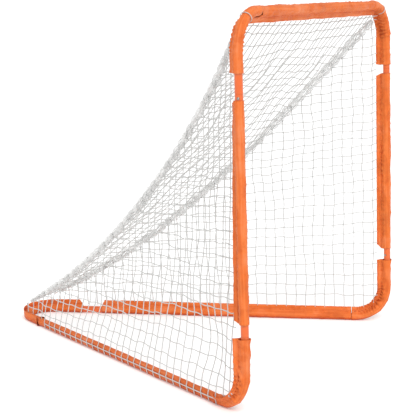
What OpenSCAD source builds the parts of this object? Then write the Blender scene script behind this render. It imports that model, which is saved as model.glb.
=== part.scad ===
// A portable practice goal. Steel tubes with snap-button joints make a square mouth and a
// V-shaped base, fabric sleeves cover the tubes, and the net hangs in three panels with a
// gathered seam down each side. Millimetres, +Y towards the rear, +Z up, ground at z = 0.

/* [Mouth] */
// Distance between the centres of the two posts
post_spacing = 1195; // [1000:5:1850]
// Height of the crossbar's centre above the rails' centres, measured along a post
post_height = 1200; // [1000:5:1850]
// Backward lean of the mouth under the net's pull, in degrees
mouth_lean = 1.9; // [0.5:0.1:4]

/* [Base] */
// Distance from the front corners to the point where the rails' centre lines would cross
base_depth = 1390; // [1200:5:2200]

/* [Steel tube] */
// Outside diameter of every tube
tube_d = 25; // [24:0.5:28]
// Wall thickness
tube_wall = 1.2; // [1:0.1:1.4]
// Centre line radius of the four corner bends
corner_r = 120; // [90:5:125]
// Centre line radius of the rear bend
rear_r = 85; // [80:5:110]
// Length of a corner piece's leg, from the sharp corner to the joint
corner_leg = 236; // [236:1:280]
// Length of the rear piece's leg, from the sharp corner to the joint
rear_leg = 347; // [340:1:400]

/* [Joints] */
// Length of the reduced spigot inside the next tube
spigot_l = 56; // [56:1:70]
// Radial clearance between a spigot and the tube around it
spigot_gap = 0.1; // [0.05:0.01:0.15]
// Visible slit between the two tubes at a joint
joint_slit = 0.6; // [0.2:0.1:1]
// Distance from a joint to the middle of its snap button
button_back = 12.6; // [12:0.2:16]
// Diameter of a snap button
button_d = 7.6; // [6.4:0.2:7.8]
// Diameter of the hole that it passes through
button_hole_d = 9; // [8.8:0.2:9.4]
// How far the button's tip stands above the tube
button_proud = 1.9; // [1.5:0.1:2]
// Thickness of the spring strip
strip_t = 0.8; // [0.6:0.1:0.9]
// Width of the spring strip
strip_w = 8; // [7.8:0.1:8.2]
// Distance from the button to the fold that it turns about
strip_l = 32; // [30:1:34]

/* [Sleeves] */
// Inner radius of a fabric sleeve, loose on the tube
sleeve_r = 14.6; // [14.5:0.1:15]
// Thickness of the fabric
fabric_t = 0.8; // [0.6:0.1:1]
// How far the slack lies towards the flap
sleeve_slack = 1.6; // [1.5:0.1:1.6]
// Width of the doubled flap that the net is sewn to
flap_w = 22; // [16:1:26]
// Ends of a post's sleeve, above the rail's centre
post_sleeve_ends = [274, 945];
// Upper end of a bottom corner's sleeve, above the rail's centre
bottom_sleeve_end = 230; // [200:5:235]
// Lower ends of the left and right top corners' sleeves, below the crossbar's centre
top_sleeve_ends = [177, 223];
// Length of sleeve on the straight beside a corner bend, from the sharp corner
corner_sleeve_end = 138; // [134:1:150]
// Lengths of the rear sleeve's left and right legs, from the sharp rear corner
rear_sleeve_ends = [278, 310];
// Rear ends of the left and right rails' sleeves, from the sharp rear corner
rail_sleeve_ends = [281, 391];
// Angle of the crossbar's flap below the mouth's normal
bar_flap_drop = 72; // [20:1:80]
// Angle that the left bottom sleeve's flap has turned outwards
bottom_flap_swing = 38; // [0:1:45]

/* [Net] */
// Thickness of a net panel, about one knot
net_t = 4; // [3:0.5:5]
// Diameter of a gathered seam
seam_d = 20; // [14:1:24]
// Sag of a seam at its middle
seam_sag = 78; // [0:1:160]
// How far the seams are drawn towards each other at their middle
seam_draw = 60; // [0:1:80]
// Sag of the top panel's middle, as a share of the seams'
top_sag_share = 0.75; // [0:0.05:1]
// Columns of facets along each panel
net_columns = 18; // [8:1:24]

/* [Hidden] */
$fn = 48;
LEFT = 0;
RIGHT = 1;
SIDES = [LEFT, RIGHT];
SIDE_NAMES = ["left", "right"];
orange_steel = [0.94, 0.36, 0.13];
orange_fabric = [0.93, 0.45, 0.25];
bright_steel = [0.78, 0.78, 0.76];
white_cord = [0.93, 0.93, 0.91];

tube_r = tube_d / 2;
bore_r = tube_r - tube_wall;
spigot_r = bore_r - spigot_gap;
spigot_bore_r = spigot_r - tube_wall;
collar_l = 3;
cut = 1;
outer_r = sleeve_r + fabric_t;
flap_reach = sleeve_slack + outer_r + flap_w;
ground_fabric = 0.2;
rail_z = outer_r - sleeve_slack - ground_fabric;

// Vectors
X = [1, 0, 0];
Y = [0, 1, 0];
Z = [0, 0, 1];
function unit(v) = v / norm(v);
function flat_part(v, n) = unit(v - (v * n) * n);
function mix(a, b, t) = a + (b - a) * t;
function hand(side) = side == LEFT ? -1 : 1;

// Frame lines. Each post starts at a front corner, and each rail runs from it to the rear.
half_spacing = post_spacing / 2;
rear_half_angle = atan(half_spacing / base_depth);
rail_l = norm([half_spacing, base_depth]);
post_dir = [0, sin(mouth_lean), cos(mouth_lean)];
mouth_normal = [0, cos(mouth_lean), -sin(mouth_lean)];
function rail_dir(side) = [-hand(side) * sin(rear_half_angle), cos(rear_half_angle), 0];
function side_normal(side) = unit(cross(rail_dir(side), post_dir)) * -hand(side);
function angle_between(a, b) = acos(a * b);
corner_turn_r = corner_r / sin(angle_between(post_dir, rail_dir(LEFT)) / 2);

// The origin is under the middle of the whole goal, so the front line's place follows from
// the foremost point of a bottom bend and the rearmost point of the rear bend.
front_bend_centre_y = (unit(post_dir + rail_dir(LEFT)) * corner_turn_r)[1];
bend_plane_y = sqrt(1 - pow(side_normal(LEFT)[1], 2));
front_reach = front_bend_centre_y - (corner_r - sleeve_slack) * bend_plane_y - outer_r;
rear_reach = base_depth - rear_r / sin(rear_half_angle) + rear_r + outer_r;
front_y = -(front_reach + rear_reach) / 2;

function front_corner(side) = [hand(side) * half_spacing, front_y, rail_z];
function top_corner(side) = front_corner(side) + post_height * post_dir;
rear_corner = [0, front_y + base_depth, rail_z];
function post_point(side, h) = front_corner(side) + h * post_dir;
function bar_point(side, l) = top_corner(side) - hand(side) * l * X;
function rail_point(side, l) = rear_corner - l * rail_dir(side);

// Directions that the flaps point in
function post_flap(side) = flat_part(rail_dir(side), post_dir);
function rail_flap(side) = flat_part(post_dir, rail_dir(side));
bar_flap = cos(bar_flap_drop) * mouth_normal - sin(bar_flap_drop) * post_dir;

// Joints: each has the middle of its slit, the way its spigot points and the way its
// button faces.
function outward(side) = hand(side) * [cos(rear_half_angle), hand(side) * sin(rear_half_angle), 0];
bar_button = sin(bar_flap_drop) * mouth_normal + cos(bar_flap_drop) * post_dir;
function post_button(side) = flat_part([hand(side) * cos(15), -sin(15), 0], post_dir);
JOINT_NAMES = [for (side = SIDES, place = ["crossbar", "upright_top", "upright_bottom",
                                           "rail_front", "rail_rear"])
               str(SIDE_NAMES[side], "_", place)];
function side_joints(side) = [
    [bar_point(side, corner_leg), -hand(side) * X, bar_button],
    [post_point(side, post_height - corner_leg), -post_dir, post_button(side)],
    [post_point(side, corner_leg), post_dir, -post_button(side)],
    [rail_point(side, rail_l - corner_leg), rail_dir(side), outward(side)],
    [rail_point(side, rear_leg), -rail_dir(side), outward(side)]
];
JOINTS = concat(side_joints(LEFT), side_joints(RIGHT));

// ---------------------------------------------------------------- placing helpers

// Puts local +Z along z_dir and local +X along x_dir
module place(origin, z_dir, x_dir) {
    y_dir = cross(z_dir, x_dir);
    multmatrix([
        [x_dir[0], y_dir[0], z_dir[0], origin[0]],
        [x_dir[1], y_dir[1], z_dir[1], origin[1]],
        [x_dir[2], y_dir[2], z_dir[2], origin[2]],
        [0, 0, 0, 1]
    ]) children();
}

// A straight run of a 2D section, whose +X faces x_dir
module run(from, to, x_dir) {
    place(from, unit(to - from), x_dir) linear_extrude(height = norm(to - from)) children();
}

// A bend and its two straight legs share one local frame: the bend turns about local +Z from
// local +X, leg a leaves its start and leg b its end.
function bend_half(leg_a, leg_b) = angle_between(leg_a, leg_b) / 2;
function bend_centre(corner, leg_a, leg_b, radius) =
    corner + unit(leg_a + leg_b) * radius / sin(bend_half(leg_a, leg_b));
function bend_axis(leg_a, leg_b) = unit(cross(leg_b, leg_a));
function bend_out(leg_a, leg_b) = cross(bend_axis(leg_a, leg_b), leg_a);
function tangent_l(leg_a, leg_b, radius) = radius / tan(bend_half(leg_a, leg_b));
corner_tangent = tangent_l(post_dir, rail_dir(LEFT), corner_r);

module in_bend_frame(corner, leg_a, leg_b, radius) {
    place(bend_centre(corner, leg_a, leg_b, radius), bend_axis(leg_a, leg_b),
          bend_out(leg_a, leg_b))
        children();
}

// The bend itself, of a 2D section whose +X points out of the bend and +Y along its axis
module bend(leg_a, leg_b, radius) {
    rotate_extrude(angle = 180 - 2 * bend_half(leg_a, leg_b))
        translate([radius, 0]) children();
}

// A stretch of leg a, from one distance past the bend to another
module leg_a_run(radius, from, to) {
    translate([radius, -from, 0]) rotate([90, 0, 0]) linear_extrude(height = to - from)
        children();
}

// The same stretch of leg b
module leg_b_run(leg_a, leg_b, radius, from, to) {
    rotate([0, 0, 180 - 2 * bend_half(leg_a, leg_b)])
        translate([radius, to, 0]) rotate([90, 0, 0]) linear_extrude(height = to - from)
            children();
}

// A bend's walls are this much thinner than its legs', and each leg reaches this far into it
bend_thin = 0.1;
leg_lap = 0.5;

module ring(outer, inner) {
    difference() {
        circle(r = outer);
        circle(r = inner);
    }
}

// Everything above the ground, which flattens the sleeves that lie on it
module above_ground() {
    reach = 2 * (base_depth + post_spacing);
    intersection() {
        children();
        translate([-reach / 2, -reach / 2, 0]) cube(reach);
    }
}

// ---------------------------------------------------------------- steel tubes

// The hole through a wall for one joint's button
module button_hole(joint) {
    place(joint[0], joint[1], joint[2])
        translate([0, 0, button_back]) rotate([0, 90, 0])
            cylinder(d = button_hole_d, h = tube_r + cut);
}

// A straight tube between two joints, which slides over both spigots
module straight_tube(a, b) {
    color(orange_steel) difference() {
        run(a[0] + joint_slit * a[1], b[0] + joint_slit * b[1], a[2]) ring(tube_r, bore_r);
        button_hole(a);
        button_hole(b);
    }
}

// A bent tube from joint a to joint b round a sharp corner. Each leg ends in a collar and a
// reduced spigot.
module bent_tube(corner, a, b, radius) {
    leg_a = unit(a[0] - corner);
    leg_b = unit(b[0] - corner);
    tangent = tangent_l(leg_a, leg_b, radius);
    end_a = norm(a[0] - corner) - tangent;
    end_b = norm(b[0] - corner) - tangent;
    tip = joint_slit + spigot_l;
    color(orange_steel) difference() {
        in_bend_frame(corner, leg_a, leg_b, radius) union() {
            bend(leg_a, leg_b, radius) ring(tube_r - bend_thin, bore_r + bend_thin);
            leg_a_run(radius, -leg_lap, end_a - collar_l) ring(tube_r, bore_r);
            leg_a_run(radius, end_a - collar_l, end_a) ring(tube_r, spigot_bore_r);
            leg_a_run(radius, end_a, end_a + tip) ring(spigot_r, spigot_bore_r);
            leg_b_run(leg_a, leg_b, radius, -leg_lap, end_b - collar_l)
                ring(tube_r, bore_r);
            leg_b_run(leg_a, leg_b, radius, end_b - collar_l, end_b)
                ring(tube_r, spigot_bore_r);
            leg_b_run(leg_a, leg_b, radius, end_b, end_b + tip)
                ring(spigot_r, spigot_bore_r);
        }
        button_hole(a);
        button_hole(b);
    }
}

module crossbar_tube() straight_tube(side_joints(LEFT)[0], side_joints(RIGHT)[0]);
module top_elbow(side)
    bent_tube(top_corner(side), side_joints(side)[0], side_joints(side)[1], corner_r);
module upright_tube(side) straight_tube(side_joints(side)[2], side_joints(side)[1]);
module bottom_elbow(side)
    bent_tube(front_corner(side), side_joints(side)[2], side_joints(side)[3], corner_r);
module rail_tube(side) straight_tube(side_joints(side)[3], side_joints(side)[4]);
module rear_tube()
    bent_tube(rear_corner, side_joints(LEFT)[4], side_joints(RIGHT)[4], rear_r);

// ---------------------------------------------------------------- snap buttons

pivot_x = sqrt(pow(spigot_bore_r, 2) - pow(strip_w / 2, 2)) - 0.06 - strip_t / 2;
pivot_z = button_back + strip_l;
strip_tip_z = 4;
fold_gap = 0.1;

// A strip of the spring, drawn in the joint's own X-Z plane
module strip_plate() {
    rotate([90, 0, 0]) translate([0, 0, -strip_w / 2]) linear_extrude(height = strip_w)
        children();
}

// The fixed half of the spring: the fold and the leg against the far wall
module button_spring(joint) {
    color(bright_steel) place(joint[0], joint[1], joint[2]) strip_plate() {
        intersection() {
            translate([0, pivot_z]) ring(pivot_x + strip_t / 2, pivot_x - strip_t / 2);
            translate([-tube_r, pivot_z + strip_t / 2 + fold_gap]) square(2 * tube_r);
        }
        translate([-pivot_x - strip_t / 2, strip_tip_z])
            square([strip_t, pivot_z + strip_t / 2 + 2 * fold_gap - strip_tip_z]);
    }
}

// The moving half: the leg that turns about the fold, and its button
module button_leg(joint) {
    seat_x = pivot_x + strip_t / 2;
    tip_x = tube_r + button_proud;
    rim_x = tube_r + button_proud * 0.2;
    dome_h = tip_x - rim_x;
    dome_r = (pow(button_d / 2, 2) + dome_h * dome_h) / (2 * dome_h);
    color(bright_steel) place(joint[0], joint[1], joint[2]) union() {
        strip_plate() {
            translate([pivot_x - strip_t / 2, strip_tip_z])
                square([strip_t, pivot_z - strip_tip_z]);
            translate([pivot_x, pivot_z]) circle(d = strip_t);
        }
        translate([0, 0, button_back]) rotate([0, 90, 0]) intersection() {
            translate([0, 0, seat_x - strip_t / 2])
                cylinder(d = button_d, h = tip_x - seat_x + strip_t / 2);
            union() {
                translate([0, 0, tip_x - dome_r]) sphere(r = dome_r);
                cylinder(r = tube_r, h = rim_x);
            }
        }
    }
}

// ---------------------------------------------------------------- fabric sleeves

// A sleeve's section: a loose ring with a doubled flap, which points along +X turned by an
// angle. The flap can swing further round the ring. The fabric is thinner by trim on every
// side, and one that lies on the ground is pressed flat along its -X side.
module sleeve_section(turn = 0, trim = 0, grounded = false, swing = 0) {
    rotate(turn) difference() {
        union() {
            translate([sleeve_slack, 0]) circle(r = outer_r - trim);
            translate([sleeve_slack, 0]) rotate(swing) translate([sleeve_r, trim - fabric_t])
                square([flap_reach - sleeve_slack - sleeve_r - trim, 2 * (fabric_t - trim)]);
        }
        translate([sleeve_slack, 0]) circle(r = sleeve_r + trim);
        if (grounded)
            translate([-rail_z - outer_r, -outer_r]) square([outer_r, 2 * outer_r]);
    }
}

module crossbar_sleeve() {
    color(orange_fabric)
        run(bar_point(LEFT, corner_sleeve_end + 2), bar_point(RIGHT, corner_sleeve_end + 2),
            bar_flap)
            sleeve_section();
}

// A sleeve round a bend, with its flap facing the given way where leg a leaves
module bent_sleeve(corner, leg_a, leg_b, radius, end_a, end_b, flap, grounded = false,
                   swing = 0) {
    tangent = tangent_l(leg_a, leg_b, radius);
    turn = atan2(flap * bend_axis(leg_a, leg_b), flap * bend_out(leg_a, leg_b));
    in_bend_frame(corner, leg_a, leg_b, radius) union() {
        bend(leg_a, leg_b, radius) sleeve_section(turn, bend_thin, grounded, swing);
        leg_a_run(radius, -leg_lap, end_a - tangent) sleeve_section(turn, 0, grounded, swing);
        leg_b_run(leg_a, leg_b, radius, -leg_lap, end_b - tangent)
            sleeve_section(turn, 0, grounded, swing);
    }
}

module top_sleeve(side) {
    color(orange_fabric)
        bent_sleeve(top_corner(side), -post_dir, -hand(side) * X, corner_r,
                    top_sleeve_ends[side], corner_sleeve_end, post_flap(side));
}

module post_sleeve(side) {
    color(orange_fabric)
        run(post_point(side, post_sleeve_ends[0]), post_point(side, post_sleeve_ends[1]),
            post_flap(side))
            sleeve_section();
}

function flap_swing(side) = side == LEFT ? bottom_flap_swing : 0;
module bottom_sleeve(side) {
    color(orange_fabric)
        bent_sleeve(front_corner(side), post_dir, rail_dir(side), corner_r,
                    bottom_sleeve_end, corner_sleeve_end, post_flap(side), true,
                    flap_swing(side));
}

// The section of a sleeve that has rolled round its tube: the flap still points along +X, but
// it leaves the tube's side instead of its top
module rolled_section() {
    difference() {
        union() {
            translate([sleeve_slack, 0]) circle(r = outer_r);
            translate([0, -outer_r - fabric_t]) square([flap_w, 2 * fabric_t]);
        }
        translate([sleeve_slack, 0]) circle(r = sleeve_r);
    }
}

// The left rail's sleeve has rolled outwards, and the right one's flap stands on top
module rail_sleeve(side) {
    color(orange_fabric) above_ground()
        run(rail_point(side, rail_l - corner_sleeve_end - 2),
            rail_point(side, rail_sleeve_ends[side]), rail_flap(side))
            if (side == LEFT) rolled_section(); else sleeve_section();
}

module rear_sleeve() {
    color(orange_fabric)
        bent_sleeve(rear_corner, -rail_dir(LEFT), -rail_dir(RIGHT), rear_r,
                    rear_sleeve_ends[LEFT], rear_sleeve_ends[RIGHT], Z, true);
}

// ---------------------------------------------------------------- net

// A seam runs from just inside the top corner to just above the rail near the rear bend. It
// sags most past its middle, and is drawn inwards most before it.
seam_top_in = 36;
seam_top_back = 62;
seam_top_drop = 13;
seam_end_back = 175;
seam_end_rise = 55;
sag_skew = -0.5;
draw_skew = 0.7;
seam_from = 0.01;
seam_to = 0.985;
seam_rings = 28;
seam_sides = 10;
function diagonal(side) = unit(rear_corner - top_corner(side));
function diagonal_down(side) = unit(cross(side_normal(side), diagonal(side))) * hand(side);
function seam_start(side) =
    top_corner(side) + seam_top_back * diagonal(side) + seam_top_drop * diagonal_down(side)
    + seam_top_in * side_normal(side);
function seam_end(side) = rail_point(side, seam_end_back) + seam_end_rise * rail_flap(side);
function bow(t, skew) = 4 * t * (1 - t) * (1 + skew * (1 - 2 * t));
function seam_point(side, t) =
    mix(seam_start(side), seam_end(side), t)
    + seam_sag * bow(t, sag_skew) * diagonal_down(side)
    + seam_draw * bow(t, draw_skew) * side_normal(side);

// A grid of quads closed into a thin shell: rows[r][c], moved both ways along offsets[r][c]
module grid_shell(rows, offsets) {
    nr = len(rows);
    nc = len(rows[0]);
    n = nr * nc;
    points = [for (s = [-0.5, 0.5], r = [0:nr - 1], c = [0:nc - 1])
              rows[r][c] + s * offsets[r][c]];
    low = [for (r = [0:nr - 2], c = [0:nc - 2]) each [
        [r * nc + c, r * nc + c + 1, (r + 1) * nc + c + 1],
        [r * nc + c, (r + 1) * nc + c + 1, (r + 1) * nc + c]]];
    high = [for (f = low) [n + f[2], n + f[1], n + f[0]]];
    edge = concat(
        [for (c = [0:nc - 1]) c],
        [for (r = [1:nr - 1]) r * nc + nc - 1],
        [for (c = [nc - 2:-1:0]) (nr - 1) * nc + c],
        [for (r = [nr - 2:-1:1]) r * nc]);
    rim = [for (i = [0:len(edge) - 1]) let (a = edge[i], b = edge[(i + 1) % len(edge)]) each [
        [a, n + a, n + b],
        [a, n + b, b]]];
    polyhedron(points, concat(low, high, rim));
}

// A side panel is ruled from the rail's flap, or the corner's, up to the seam
net_gap = 1.5;
net_inset = flap_reach + net_gap;
corner_clear = corner_tangent + 4;
module side_net(side) {
    up = rail_flap(side);
    normal = side_normal(side);
    corner = front_corner(side);
    along = rail_dir(side);
    rolled = side == LEFT ? outer_r : 0;
    last_rolled_foot = rail_l - rear_sleeve_ends[side] - 20;
    swung_inset = net_inset + (side == LEFT ? 4 : 0);
    function swung(flap) = swung_inset * (cos(flap_swing(side)) * flap
                                          - sin(flap_swing(side)) * normal);
    low_post = corner + corner_clear * post_dir + swung(post_flap(side));
    seam_gap = 2 * (seam_d / 2 + net_gap);
    last_t = seam_to;
    seam_foot = function(t) (seam_point(side, t) - corner) * along;
    first_foot = corner_clear;
    last_foot = seam_foot(last_t) - 10;
    steps = [for (i = [0:net_columns]) i / net_columns];
    top_t = function(s) mix(0.08, last_t, s);
    foot = function(s) mix(first_foot, last_foot, s);
    roll = function(s) foot(s) > last_rolled_foot ? 0 : rolled;
    low_rail = function(s) corner + foot(s) * along
                           + (s == 0 ? swung(up)
                                     : net_inset * up - roll(s) * (up + normal));
    lower = concat([low_post], [for (s = steps) low_rail(s)]);
    upper_start = seam_point(side, 0.055) - seam_gap * up;
    upper = concat([upper_start], [for (s = steps) seam_point(side, top_t(s)) - seam_gap * up]);
    color(white_cord)
        grid_shell([lower, upper], [for (row = [0, 1]) [for (p = lower) net_t * normal]]);
}

// The top panel: straight rows from side to side, sagging less in the middle than the seams
top_rows = 14;
top_strips = 6;
function bar_edge(w) = bar_point(LEFT, half_spacing) + w * (half_spacing - 110) * X
                       + net_inset * bar_flap;
rear_edge_mid = rear_corner + (rear_r - rear_r / sin(rear_half_angle) - 30) * Y
                + (net_inset + 12) * Z;
function top_mid(t) =
    mix(bar_edge(0), rear_edge_mid, t)
    - 4 * t * (1 - t) * seam_sag * top_sag_share * mid_down;
mid_run = unit(rear_edge_mid - bar_edge(0));
mid_down = [0, -mid_run[2], mid_run[1]];
module top_net() {
    seam_side = seam_d / 2 + net_gap + 1;
    rows = [for (i = [0:top_rows]) let (
        t = i / top_rows,
        seam_t = mix(seam_from + 0.01, seam_to - 0.02, t),
        left = seam_point(LEFT, seam_t),
        half_w = -left[0] - seam_side * 1.25,
        mid = top_mid(t)
    ) [for (j = [0:top_strips]) let (w = 2 * j / top_strips - 1)
        i == 0 ? bar_edge(w)
               : [w * half_w, mix(mid[1], left[1], w * w), mix(mid[2], left[2], w * w)]]];
    color(white_cord)
        grid_shell(rows, [for (row = rows) [for (p = row) -net_t * mid_down]]);
}

// A gathered seam: a round bundle swept along its curve
module seam(side) {
    function ring_points(t) = let (
        ahead = unit(seam_point(side, t + 0.01) - seam_point(side, t - 0.01)),
        across = unit(cross(ahead, Z)),
        over = cross(across, ahead)
    ) [for (k = [0:seam_sides - 1]) let (a = 360 * k / seam_sides)
        seam_point(side, t) + seam_d / 2 * (cos(a) * across + sin(a) * over)];
    rings = [for (i = [0:seam_rings]) each ring_points(mix(seam_from, seam_to, i / seam_rings))];
    walls = [for (i = [0:seam_rings - 1], k = [0:seam_sides - 1]) let (
        a = i * seam_sides + k,
        b = i * seam_sides + (k + 1) % seam_sides
    ) each [[a, a + seam_sides, b], [b, a + seam_sides, b + seam_sides]]];
    last = seam_rings * seam_sides;
    color(white_cord) polyhedron(rings, concat(
        walls,
        [[for (k = [0:seam_sides - 1]) k]],
        [[for (k = [seam_sides - 1:-1:0]) last + k]]));
}

// ---------------------------------------------------------------- the goal

crossbar_tube();
rear_tube();
crossbar_sleeve();
rear_sleeve();
top_net();
for (side = SIDES) {
    top_elbow(side);
    upright_tube(side);
    bottom_elbow(side);
    rail_tube(side);
    top_sleeve(side);
    post_sleeve(side);
    bottom_sleeve(side);
    rail_sleeve(side);
    side_net(side);
    seam(side);
}
for (i = [0:len(JOINTS) - 1]) {
    button_spring(JOINTS[i]);
    button_leg(JOINTS[i]);
}
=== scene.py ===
"""The looks of a portable practice goal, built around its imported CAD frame.

Metres, +Y to the rear, +Z up. The steel tubes and snap buttons are the frame's own nodes with
better materials. The fabric sleeves, the three net panels and the two gathered seams are
modelled here, on lines worked out from the boxes and the ends of the CAD nodes.
"""

import math

import bpy
import numpy as np
from mathutils import Euler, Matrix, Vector


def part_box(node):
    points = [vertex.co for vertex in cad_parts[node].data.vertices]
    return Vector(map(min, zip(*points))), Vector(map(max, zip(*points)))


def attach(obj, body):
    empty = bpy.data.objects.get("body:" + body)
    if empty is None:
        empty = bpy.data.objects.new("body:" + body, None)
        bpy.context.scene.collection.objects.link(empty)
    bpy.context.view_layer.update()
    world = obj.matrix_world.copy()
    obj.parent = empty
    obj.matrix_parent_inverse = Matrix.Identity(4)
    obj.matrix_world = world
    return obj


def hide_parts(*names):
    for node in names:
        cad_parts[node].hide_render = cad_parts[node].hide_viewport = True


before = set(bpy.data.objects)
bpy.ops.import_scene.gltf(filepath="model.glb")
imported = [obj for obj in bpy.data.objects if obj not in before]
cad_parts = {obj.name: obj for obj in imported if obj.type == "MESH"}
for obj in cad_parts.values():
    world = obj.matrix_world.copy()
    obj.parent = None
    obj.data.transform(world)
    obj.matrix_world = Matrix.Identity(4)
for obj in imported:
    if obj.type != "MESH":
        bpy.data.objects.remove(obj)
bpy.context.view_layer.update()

MM = 0.001
SIDES = ("left", "right")
HAND = {"left": -1.0, "right": 1.0}
GOAL = "goal"

# ------------------------------------------------------------------ camera

CAMERA_PLACE = (-3.6905, -2.2134, 1.3024)
CAMERA_TILT = math.radians(90 - 10.74)
CAMERA_HEADING = math.radians(-60.99)
CAMERA_LENS = 104.12


def make_camera():
    data = bpy.data.cameras.new("camera")
    data.lens = CAMERA_LENS
    data.sensor_width = 36
    camera = bpy.data.objects.new("camera", data)
    camera.location = CAMERA_PLACE
    camera.rotation_euler = Euler((CAMERA_TILT, 0, CAMERA_HEADING))
    bpy.context.scene.collection.objects.link(camera)
    bpy.context.scene.camera = camera


# ------------------------------------------------------------------ vectors


def vec(x, y, z):
    return np.array([x, y, z], float)


def unit(v):
    v = np.asarray(v, float)
    return v / np.linalg.norm(v)


def flat_part(v, normal):
    """The unit part of v that is square to normal."""
    return unit(v - np.dot(v, normal) * normal)


def mix(a, b, t):
    return a + (b - a) * t


def smooth_step(x):
    x = np.clip(x, 0.0, 1.0)
    return x * x * (3 - 2 * x)


class Waves:
    """Smooth, seeded, uneven waves over two coordinates, from about -1 to 1."""

    def __init__(self, seed, length_a, length_b, count=7):
        rng = np.random.default_rng(seed)
        self.turn = rng.uniform(0, 2 * math.pi, count)
        self.angle = rng.uniform(0, 2 * math.pi, count)
        self.scale = rng.uniform(0.6, 1.5, count)
        self.length = (length_a, length_b)

    def __call__(self, a, b):
        total = 0.0
        for turn, angle, scale in zip(self.turn, self.angle, self.scale):
            phase = np.cos(angle) * a / self.length[0] + np.sin(angle) * b / self.length[1]
            total = total + np.sin(2 * math.pi * scale * phase + turn)
        return total / math.sqrt(len(self.turn)) * 0.8


# ------------------------------------------------------------------ the frame's own lines


def middle(node):
    lo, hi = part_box(node)
    return np.array((lo + hi) / 2)


def reach_along(node, origin, direction):
    """The nearest and farthest points of a CAD node along a direction from an origin."""
    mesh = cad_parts[node].data
    points = np.empty(len(mesh.vertices) * 3)
    mesh.vertices.foreach_get("co", points)
    along = (points.reshape(-1, 3) - origin) @ direction
    return along.min(), along.max()


# Centre line radii of the corner bends and of the rear bend
CORNER_R = 120 * MM
REAR_R = 85 * MM

bar = middle("crossbar_tube")
RAIL_Z = middle("left_rail_tube")[2]
HALF_SPACING = middle("right_upright_tube")[0]
TOP = {side: vec(HAND[side] * HALF_SPACING, bar[1], bar[2]) for side in SIDES}
POST = unit(TOP["left"] - middle("left_upright_tube"))
POST_H = (TOP["left"][2] - RAIL_Z) / POST[2]
FRONT = {side: TOP[side] - POST_H * POST for side in SIDES}
RAIL = {side: unit(middle(f"{side}_rail_tube") - FRONT[side]) for side in SIDES}
RAIL_L = -FRONT["left"][0] / RAIL["left"][0]
REAR = FRONT["left"] + RAIL_L * RAIL["left"]
REAR_HALF_ANGLE = math.asin(RAIL["left"][0])
MOUTH_NORMAL = vec(0, POST[2], -POST[1])

# The crossbar's flap hangs, and the left bottom sleeve's flap has turned outwards
BAR_FLAP_DROP = math.radians(72)
BOTTOM_FLAP_SWING = math.radians(38)
# The left post's flap is twisted, by one angle at its foot and one at its head
POST_FLAP_SWING = (math.radians(15), math.radians(-6))
BAR_FLAP = math.cos(BAR_FLAP_DROP) * MOUTH_NORMAL - math.sin(BAR_FLAP_DROP) * POST
POST_FLAP = {side: flat_part(RAIL[side], POST) for side in SIDES}
RAIL_FLAP = {side: flat_part(POST, RAIL[side]) for side in SIDES}
INWARD = {side: unit(np.cross(RAIL[side], POST)) * -HAND[side] for side in SIDES}


# ------------------------------------------------------------------ meshes


def add_mesh(name, points, faces, uvs):
    """A smooth mesh object from arrays. uvs has one pair for each vertex."""
    mesh = bpy.data.meshes.new(name)
    mesh.from_pydata(np.asarray(points).tolist(), [], [tuple(map(int, f)) for f in faces])
    mesh.polygons.foreach_set("use_smooth", [True] * len(mesh.polygons))
    layer = mesh.uv_layers.new(name="metres")
    corner = np.empty(len(mesh.loops), int)
    mesh.loops.foreach_get("vertex_index", corner)
    layer.data.foreach_set("uv", np.asarray(uvs)[corner].ravel())
    mesh.update()
    obj = bpy.data.objects.new(name, mesh)
    bpy.context.scene.collection.objects.link(obj)
    return obj


def grid_faces(rows, columns, first=0, closed=False):
    """Quads of a grid of vertices in row order. A closed grid's last column joins its first."""
    r = np.arange(rows - 1)[:, None]
    c = np.arange(columns if closed else columns - 1)[None, :]
    n = (c + 1) % columns
    quads = np.stack([r * columns + c, r * columns + n, (r + 1) * columns + n,
                      (r + 1) * columns + c], -1)
    return quads.reshape(-1, 4) + first


def distance_along(line):
    """How far each point of a line is from its start, measured along it."""
    return np.concatenate([[0], np.cumsum(np.linalg.norm(np.diff(line, axis=0), axis=1))])


KNOT_RINGS = 3
KNOT_SIDES = 6


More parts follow.
